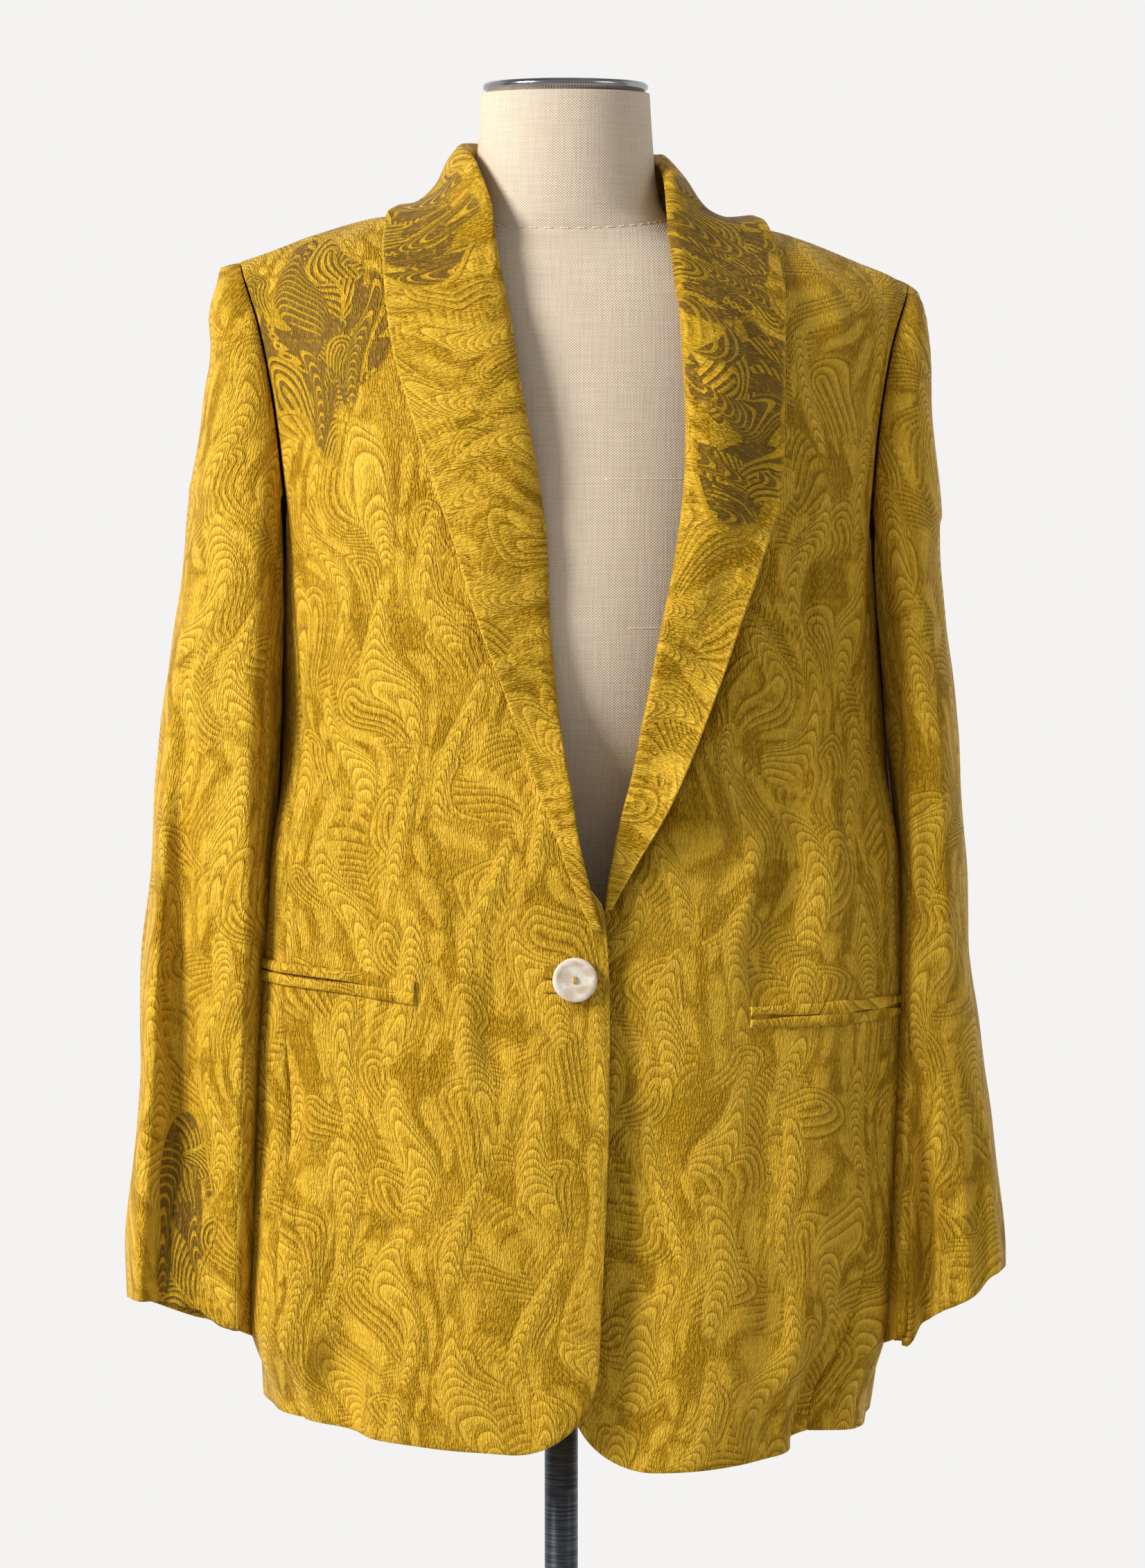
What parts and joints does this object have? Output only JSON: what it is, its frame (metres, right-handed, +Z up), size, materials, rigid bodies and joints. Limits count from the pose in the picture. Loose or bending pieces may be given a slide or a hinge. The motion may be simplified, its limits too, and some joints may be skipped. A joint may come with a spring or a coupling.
{
  "type": "blazer on a dress form",
  "caption": "Shawl-collar blazer in mustard jacquard with jetted pockets, resting on a linen-covered limbless dress form with a pole and a round base.",
  "frame": {"origin": "middle of the round base plate's underside, on the floor", "axes": "+Z up along the pole, the front of the blazer faces -Y, +X is the wearer's left"},
  "size_m": [0.5306, 0.38, 1.5285],
  "materials": {
    "jacquard": "tonal jacquard weave with a soft satin sheen",
    "linen": "plain linen weave",
    "chrome": "polished",
    "dark_steel": "dark satin",
    "mother_of_pearl": "polished shell",
    "thread": "twisted thread"
  },
  "bodies": {
    "root": {"front_right": "jacquard", "front_left": "jacquard", "side_panel_right": "jacquard", "side_panel_left": "jacquard", "back": "jacquard", "top_sleeve_lower_right": "jacquard", "top_sleeve_upper_right": "jacquard", "top_sleeve_lower_left": "jacquard", "top_sleeve_upper_left": "jacquard", "under_sleeve_lower_right": "jacquard", "under_sleeve_upper_right": "jacquard", "under_sleeve_lower_left": "jacquard", "under_sleeve_upper_left": "jacquard", "shawl_collar_right": "jacquard", "shawl_collar_left": "jacquard", "pocket_welt_upper_right": "jacquard", "pocket_welt_lower_right": "jacquard", "pocket_welt_upper_left": "jacquard", "pocket_welt_lower_left": "jacquard", "buttonhole_welt_upper": "jacquard", "buttonhole_welt_lower": "jacquard", "button": "mother_of_pearl", "button_thread": "thread", "form_torso": "linen", "form_neck_cap": "chrome", "form_pole": "dark_steel", "form_base": "dark_steel"}
  },
  "joints": []
}
